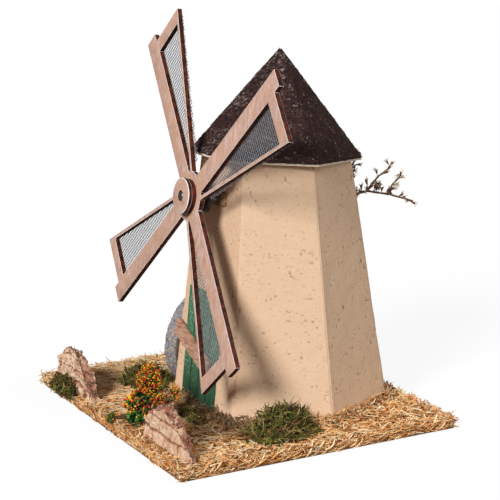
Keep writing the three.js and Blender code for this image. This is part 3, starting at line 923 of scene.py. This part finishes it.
def loose_straw(rng, count):
    """Single straws that stick out past the edges or up from the mat."""
    size = board_high - board_low
    middle = (board_low + board_high)[:2] / 2
    angle = rng.uniform(0, 2 * np.pi, count)
    square = np.maximum(np.abs(np.cos(angle)), np.abs(np.sin(angle)))
    reach = size[:2] / 2 - 1.5
    places = middle + columns(np.cos(angle), np.sin(angle)) / square[:, None] * reach
    centres = columns(places, straw_top + rng.uniform(0.2, 2.0, count))
    headings = angle + rng.normal(0, 0.9, count)
    forward = heading_vectors(headings, rng.normal(0.35, 0.4, count).clip(-0.2, 1.2))
    return strands(rng, centres, forward, rng.uniform(3, 9, count), rng.uniform(0.35, 0.9, count))


def painted_wall_shade(points):
    """Painted shade: the straw is darker in front of the door, where it meets the wall."""
    gap = wall_gap(points[:, :2])
    in_front = step(-points[:, 1], 30.0, 55.0) * step(points[:, 0], -30.0, 5.0)
    return 1 - 0.6 * in_front * step(-gap, -30.0, -10.0) - 0.2 * step(-gap, -9.0, -2.0)


STRAW_SEED = 71
# For each group: how it is laid, how many straws, and their tints.
STRAW_GROUPS = {
    "straw_chips": (straw_chips, 8600, CHIP_TINTS),
    "straw_long": (long_straw, 11500, LONG_TINTS),
    "straw_heaped": (heaped_straw, 3400, CHIP_TINTS),
    "straw_edges": (edge_straw, 3600, CHIP_TINTS),
    "straw_loose": (loose_straw, 420, LONG_TINTS),
}
STRAW_LOWEST = 0.2


def straw_pieces(look, bed_shade_look):
    shape = points, _, _ = remeshed("straw_mat", voxel=1.2)
    rise = 0.55 * rough(points, 4.0, 63) * step(points[:, 2], straw_top - 1.6, straw_top - 0.6)
    # The bed's dark brown shows between the straws as painted shade.
    resurfaced("straw_bed", "straw_mat", shape, rise - 0.25, bed_shade_look)
    rng = np.random.default_rng(STRAW_SEED)
    laid = {name: lay(rng, count) for name, (lay, count, _) in STRAW_GROUPS.items()}
    for name, (points, faces) in laid.items():
        tints = tint_points(rng, len(points) // STRAND_POINTS, STRAW_GROUPS[name][2])
        # Painted shade on the straw in front of the door and at the tower's foot.
        tints *= painted_wall_shade(points)[:, None]
        kept_above(points, STRAW_LOWEST)
        make_piece(name, points, faces, look, (), {"tint": tints}, False)


# ---- moss ----
MOSS_TINTS = {"4c4e16": 0.26, "64641e": 0.18, "867e32": 0.1, "3c2814": 0.2, "784626": 0.14, "485616": 0.12}
MOSS_SPREAD = 0.3
STALK_TINTS = {"968a46": 0.5, "865c36": 0.3, "bca870": 0.2}
# One stalk, and one leaf on the straw around, for so many leaves.
LEAVES_PER_STALK = 7
LEAVES_PER_FRINGE = 4
GROWTH_LOWEST = 0.3


def blades(rng, points, normals, count, lengths, widths, rise):
    """Leaves lying over a surface. rise is how far they stand away from it, in radians."""
    picks = rng.integers(0, len(points), count)
    level = unit(np.cross(normals[picks], rng.normal(size=(count, 3))))
    lift = np.abs(rng.normal(rise, 0.35, count))[:, None]
    forward = level * np.cos(lift) + normals[picks] * np.sin(lift)
    long = rng.uniform(*lengths, count)
    centres = points[picks] + forward * (0.35 * long)[:, None]
    return strands(rng, centres, forward, long, rng.uniform(*widths, count), normals[picks])


def fringe_blades(rng, low, high, count, length):
    """Leaves lying on the straw round the foot of a lump."""
    angle = rng.uniform(0, 2 * np.pi, count)
    ring = columns(np.cos(angle), np.sin(angle)) * rng.uniform(0.75, 1.1, (count, 1))
    places = (low + high)[:2] / 2 + ring * (high - low)[:2] / 2
    centres = columns(places, low[2] + rng.uniform(0, 2.2, count))
    forward = heading_vectors(angle + rng.normal(0, 0.8, count), rng.normal(0.1, 0.3, count))
    long = rng.uniform(0.4 * length, length, count)
    return strands(rng, centres, forward, long, rng.uniform(0.5, 1.4, count))


def moss_piece(node, look, density, length, seed):
    """Curled leaves and stalks over a dark core, in the place of a CAD lump."""
    rng = np.random.default_rng(seed)
    low, high = node_box(node)
    core, normals, core_faces = remeshed(node, voxel=1.0)
    core = core - normals * (1.2 + 1.6 * rough(core, 7.0, 81))[:, None]
    off_middle = (core - (low + high) / 2) / (high - low) * 2
    peaked = 1 - 0.55 * np.hypot(off_middle[:, 0], off_middle[:, 1]).clip(0, 1)
    core[:, 2] = low[2] + (core[:, 2] - low[2]).clip(-0.6, None) * peaked
    top = normals[:, 2] > -0.2
    count = int(density * (high[0] - low[0]) * (high[1] - low[1]))
    stalk_count = count // LEAVES_PER_STALK
    fringe_count = count // LEAVES_PER_FRINGE
    leaf_lengths, stalk_lengths = (0.35 * length, 1.1 * length), (0.7 * length, 1.4 * length)
    leaves = blades(rng, core[top], normals[top], count, leaf_lengths, (0.5, 1.5), 0.15)
    stalks = blades(rng, core[top], normals[top], stalk_count, stalk_lengths, (0.35, 0.7), 0.5)
    fringe = fringe_blades(rng, low, high, fringe_count, length)
    points, faces = joined((core, core_faces), leaves, stalks, fringe)
    tints = [
        one_tint("2a2010", core),
        tint_points(rng, count, MOSS_TINTS, MOSS_SPREAD),
        tint_points(rng, stalk_count, STALK_TINTS),
        tint_points(rng, fringe_count, MOSS_TINTS, MOSS_SPREAD),
    ]
    kept_above(points, GROWTH_LOWEST)
    values = {"tint": np.concatenate(tints)}
    make_piece(f"{node}_leaves", points, faces, look, (node,), values, False)


# ---- flowering bush ----
BUD_TINTS = {"e23e18": 0.28, "ee6c16": 0.22, "f69e14": 0.2, "facc1e": 0.18, "c42818": 0.12}
LEAF_TINTS = {"1a541a": 0.3, "2c7422": 0.26, "4c8c28": 0.16, "123614": 0.2, "70982c": 0.08}
STEM_RADII = (0.5, 0.35, 0.15)
STEMS_PER_CLUSTER = 14


def bush_clusters():
    """Middle, half size, buds, bud radius and leaves of each part, placed by the CAD lump's box."""
    low, high = node_box("flower_bush")
    size = high - low

    def at(x, y, z):
        return low + size * (x, y, z)

    return (
        (at(0.54, 0.61, 0.80), (7.2, 7.2, 9.0), 560, 0.44, 330),
        (at(0.50, 0.52, 0.55), (7.0, 8.0, 6.0), 90, 0.55, 330),
        (at(0.44, 0.34, 0.36), (6.0, 6.5, 5.5), 120, 0.7, 260),
        (at(0.74, 0.70, 0.50), (5.0, 4.5, 3.6), 130, 0.44, 140),
        (at(0.96, 0.90, 0.66), (2.8, 2.4, 3.8), 64, 0.44, 60),
        (at(0.46, 0.42, 0.14), (9.5, 10.0, 6.0), 18, 0.6, 620),
        (at(0.26, -0.08, 0.10), (3.2, 4.2, 3.0), 34, 0.5, 120),
        (at(0.90, 0.30, 0.36), (2.0, 2.4, 4.4), 34, 0.6, 50),
    )


def stems_to(rng, root, middle, half, count):
    """Bent stems from the root into a cluster, each as three places."""
    tips = middle + unit(rng.normal(size=(count, 3))) * np.array(half) * 0.9
    knees = root * 0.35 + tips * 0.65 + rng.normal(0, 1.2, (count, 3))
    feet = np.tile(root, (count, 1)) + rng.normal(0, 1.0, (count, 3))
    return np.stack([feet, knees, tips], axis=1)


def in_cluster(rng, middle, half, count, nearest, farthest):
    """Places round a cluster's middle, and how far out each is, as a share of the half size."""
    out = rng.uniform(nearest, farthest, (count, 1))
    return middle + unit(rng.normal(size=(count, 3))) * out * half, out


def bush_piece(bud_look, leaf_look):
    rng = np.random.default_rng(91)
    low, high = node_box("flower_bush")
    root = np.append((low + high)[:2] / 2, low[2])
    buds, radii, leaves, depth_shades, stems = [], [], [], [], []
    for middle, half, bud_count, radius, leaf_count in bush_clusters():
        buds.append(in_cluster(rng, middle, half, bud_count, 0.72, 1.05)[0])
        radii.append(np.full(bud_count, radius))
        places, out = in_cluster(rng, middle, half, leaf_count, 0.0, 0.95)
        leaves.append(places)
        # Painted shade: leaves deeper inside a cluster are made darker.
        depth_shades.append(0.25 + 0.85 * out)
        stems.append(stems_to(rng, root, middle, half, STEMS_PER_CLUSTER))
    buds, radii, leaves, depth_shades, stems = map(np.concatenate, (buds, radii, leaves, depth_shades, stems))
    bead, bead_faces = ball(1)
    count = len(buds)
    uneven = rng.uniform(0.75, 1.25, (count, 1))
    sizes = radii[:, None] * uneven * rng.uniform(0.85, 1.15, (count, 3))
    points, faces = repeated(bead, bead_faces, buds, sizes, random_turns(rng, count))
    kept_above(points, GROWTH_LOWEST)
    tints = tint_points(rng, count, BUD_TINTS, each=len(bead))
    make_piece("bush_buds", points, faces, bud_look, (), {"tint": tints})
    count = len(leaves)
    sizes = rng.uniform(0.4, 1.3, (count, 3)) * (1, 1, 0.5)
    crumbs = repeated(bead, bead_faces, leaves, sizes, random_turns(rng, count))
    crumb_tints = tint_points(rng, count, LEAF_TINTS, 0.3, len(bead))
    crumb_tints *= np.repeat(depth_shades, len(bead), axis=0)
    stem_set = tubes(stems, np.tile(STEM_RADII, (len(stems), 1)))
    points, faces = joined(crumbs, stem_set)
    kept_above(points, GROWTH_LOWEST)
    values = {"tint": np.concatenate([crumb_tints, one_tint("543e22", stem_set[0])])}
    make_piece("bush_foliage", points, faces, leaf_look, ("flower_bush",), values, False)


# ---- dry tree ----
def spread_out(points, count):
    """Some of the points, as far from each other as they can be."""
    chosen = [points[:, 2].argmax()]
    nearest = np.linalg.norm(points - points[chosen[0]], axis=1)
    for _ in range(count - 1):
        chosen.append(nearest.argmax())
        nearest = np.minimum(nearest, np.linalg.norm(points - points[chosen[-1]], axis=1))
    return points[chosen]


BLOSSOMS = 74
PETALS = 9
# Blossoms grow only above this share of the tree's height over the floor.
BLOSSOM_FROM = 0.76


def straight_tubes(start, end, bend, radii, *shape):
    """Tubes of three rings from each start to each end; bend is where the middle ring lies."""
    paths = np.stack([start, start + (end - start) * bend, end], axis=1)
    return tubes(paths, np.tile(radii, (len(start), 1)), *shape)


def blossoms(rng, feet):
    """Dried flower heads: a thin stem, a dark cone and a fan of pale petals. Stems, cones and petals."""
    count = len(feet)
    away = unit(feet * (1, 1, 0))
    forward = unit(0.7 * away + rng.normal(0, 0.55, (count, 3)) + (0, 0, 0.5))
    stem_length = rng.uniform(0.4, 2.6, (count, 1))
    cone_length = rng.uniform(2.4, 4.0, (count, 1))
    neck = feet + forward * stem_length
    head = neck + forward * cone_length
    stems = straight_tubes(feet, neck, 0.5, (0.16, 0.16, 0.16))
    cones = straight_tubes(neck, head, 0.5, (0.2, 0.6, 0.9), 6, 1.0, (0.3, 0.2, 1.0))
    directions = np.repeat(forward, PETALS, axis=0)
    around = unit(np.cross(directions, rng.normal(size=directions.shape)))
    petal = unit(directions * 0.7 + around * rng.uniform(0.4, 1.2, (len(directions), 1)))
    base = np.repeat(head, PETALS, axis=0) - directions * 0.4
    reach = rng.uniform(1.6, 3.0, (len(directions), 1))
    petals = straight_tubes(base, base + petal * reach, 0.6, (0.3, 0.5, 0.15), 4, 0.4)
    return stems, cones, petals


def tree_pieces(bark_look, twig_look):
    points, normals, faces = remeshed("dry_tree", voxel=0.4)
    points = points + normals * (0.16 * rough(points, (1.0, 1.0, 3.0), 95))[:, None]
    make_piece("dry_tree_bark", points, faces, bark_look, ("dry_tree",))
    rng = np.random.default_rng(97)
    high = points[points[:, 2] > node_box("dry_tree")[1][2] * BLOSSOM_FROM]
    parts = blossoms(rng, spread_out(high, BLOSSOMS))
    points, faces = joined(*parts)
    tints = ("967c58", "845838", "faecd6")
    values = {"tint": np.concatenate([one_tint(tint, part[0]) for tint, part in zip(tints, parts)])}
    make_piece("dry_tree_blossoms", points, faces, twig_look, (), values, False)


# ---- build ----
def build_tower():
    stucco, roof_sheet = stucco_look(), roof_look()
    for side in SIDES:
        wall_piece(side, stucco)
        roof_piece(side, roof_sheet)
    joint_piece(stucco)
    card = plain_look("eaves_card", "ceb69e", "ecdac8", 0.8, 0.05, detail=4)
    softened("eaves_card", 0.15, [card, card], "tower")
    door_piece(door_look())
    plank_piece(wood_look("plank_wood", "92644c", "d2a68a", (6, 6, 1.1)))
    millstone_piece(stone_look())
    block = wood_look("bearing_wood", "96704e", "cca47a", (1.0, 6, 1.0))
    softened("bearing_block", 0.25, [block, block], "tower")


def build_ground():
    board = wood_look("board_wood", "805836", "b88a5c", (9, 1.2, 1.0))
    softened("base_board", 0.3, [board, board], "tower")
    straw = tinted_look("straw", 0.7, 1.2, 0.18, 0.03)
    # The straw bed's dark browns stand in for the shade between the straws: painted shade.
    straw_pieces(straw, wood_look("straw_bed", "80542e", "c6945c", (2.2, 2.2, 2.2), 0.3))
    brick = brick_look()
    ruin_piece("ruin_wall_front", brick, jagged=2.0, rock=0.5)
    ruin_piece("ruin_wall_left", brick, jagged=2.4, rock=1.6)
    moss = tinted_look("moss", 0.9, 0.9, 0.3, 0.05)
    moss_piece("moss_by_tower", moss, density=1.1, length=9, seed=101)
    moss_piece("moss_by_ruin", moss, density=1.5, length=7, seed=102)
    moss_piece("moss_by_millstone", moss, density=1.1, length=8, seed=103)
    moss_piece("moss_by_door", moss, density=1.2, length=5, seed=104)
    bush_piece(tinted_look("bush_buds", 0.5, 0.6, 0.12, 0.02), tinted_look("bush_leaves", 0.8, 0.7))
    bark = wood_look("dry_wood", "5c4230", "9c7a5e", (1.4, 1.4, 5.0))
    tree_pieces(bark, tinted_look("dry_twigs", 0.9, 0.6, 0.2, 0.03))


# Edges of the rotor's cut boards shorter than this, in millimetres, stay sharp.
SHORT_EDGE = 0.6


def build_rotor():
    # The rounded edges of the sail cross and the front hub disc take the painted edge highlight.
    board, edge_highlight = sail_look(axle_out), edge_highlight_look()
    softened("sail_cross", 0.55, [board, edge_highlight], "rotor", SHORT_EDGE)
    softened("hub_disc_rear", 0.2, [board, board], "rotor", SHORT_EDGE)
    softened("hub_disc_front", 0.35, [board, edge_highlight], "rotor", SHORT_EDGE)
    steel_colours = "606670", "9ca2ac"
    brushed = {"size": (0.2, 3, 0.2), "depth": 0.01, "detail": 4}
    steel = plain_look("axle_steel", *steel_colours, **brushed, roughness=0.35, metallic=0.9)
    softened("hub_screw", 0.12, [steel, steel], "rotor")
    softened("axle", 0.2, [steel, steel], "rotor")
    plastic = plain_look("black_plastic", "121418", "22252a", 0.8, 0.02, roughness=0.32)
    softened("spacer_ring", 0.5, [plastic, plastic], "rotor")
    block = wood_look("collar_wood", "96704e", "cca47a", (1.2, 4, 1.2))
    softened("axle_collar", 0.3, [block, block], "rotor")
    wire_colours = "6c6d74", "aeafb6"
    wire = plain_look("wire_mesh", *wire_colours, 2.0, 0.02, roughness=0.45, metallic=0.2)
    rng = np.random.default_rng(111)
    for index in range(1, 5):
        screen_piece(index, wire, rng)


# ---- floor, light and camera ----
FLOOR_GLOW = 0.9
FLOOR_SIZE = 40
WHITE = (1, 1, 1, 1)


def build_floor():
    """White to the camera with hardly a shadow; the light it throws back is that of a grey table."""
    look = Look("floor", roughness=1.0)
    seen = look.node("ShaderNodeLightPath", {}).outputs["Is Camera Ray"]
    shadowed = look.mix(look.noise(400, detail=2), "5a5a5a", "5c5c5c")
    look.finish(look.mix(seen, "706e6a", shadowed))
    look.shader.inputs["Emission Color"].default_value = WHITE
    look.links.new(look.times(seen, FLOOR_GLOW), look.shader.inputs["Emission Strength"])
    bpy.ops.mesh.primitive_plane_add(size=FLOOR_SIZE)
    floor = bpy.context.object
    floor.name = "floor"
    floor.data.materials.append(look.material)


SKY_STRENGTH = 0.12
# Azimuths are measured from -Y towards +X, as seen from above. Angles are in degrees.
SUNS = {
    "key": {"azimuth": 30, "elevation": 31, "strength": 3.25, "angle": 17},
    "fill": {"azimuth": 130, "elevation": 24, "strength": 1.1, "angle": 60},
}


def build_light():
    for name, sun in SUNS.items():
        lamp = bpy.data.lights.new(name, "SUN")
        lamp.energy = sun["strength"]
        lamp.angle = math.radians(sun["angle"])
        holder = add_object(name, lamp)
        holder.rotation_euler = (math.radians(90 - sun["elevation"]), 0, math.radians(sun["azimuth"]))
    world = bpy.data.worlds.new("studio")
    world.use_nodes = True
    nodes, links = world.node_tree.nodes, world.node_tree.links
    background = nodes["Background"]
    background.inputs["Color"].default_value = WHITE
    seen = nodes.new("ShaderNodeLightPath").outputs["Is Camera Ray"]
    strength = nodes.new("ShaderNodeMapRange")
    strength.inputs["To Min"].default_value = SKY_STRENGTH
    strength.inputs["To Max"].default_value = 1.0
    links.new(seen, strength.inputs["Value"])
    links.new(strength.outputs[0], background.inputs["Strength"])
    bpy.context.scene.world = world


# Angles are in degrees, lengths in metres, and the lens in millimetres.
CAMERA = {"azimuth": 62.30, "elevation": 12.09, "roll": -0.99}
DISTANCE, SHIFT, HEIGHT = 0.889, -0.0156, 0.0942
LENS = 110.2
FARTHEST_SEEN = 100


def build_camera():
    """Azimuth is measured from -Y towards +X, as seen from above."""
    azimuth, elevation = math.radians(CAMERA["azimuth"]), math.radians(CAMERA["elevation"])
    right = Vector((math.cos(azimuth), math.sin(azimuth), 0))
    level_back = Vector((math.sin(azimuth), -math.cos(azimuth), 0))
    back = level_back * math.cos(elevation) + Vector(UP) * math.sin(elevation)
    place = right * SHIFT + Vector(UP) * HEIGHT + back * DISTANCE
    level = Matrix((right, back.cross(right), back)).transposed()
    turned = level @ Matrix.Rotation(math.radians(CAMERA["roll"]), 3, "Z")
    camera = add_object("camera", bpy.data.cameras.new("camera"))
    camera.data.lens = LENS
    camera.data.clip_end = FARTHEST_SEEN
    camera.matrix_world = Matrix.Translation(place) @ turned.to_4x4()
    bpy.context.scene.camera = camera
    bpy.context.scene.view_settings.view_transform = "Standard"


build_tower()
build_ground()
build_rotor()
build_floor()
build_light()
build_camera()
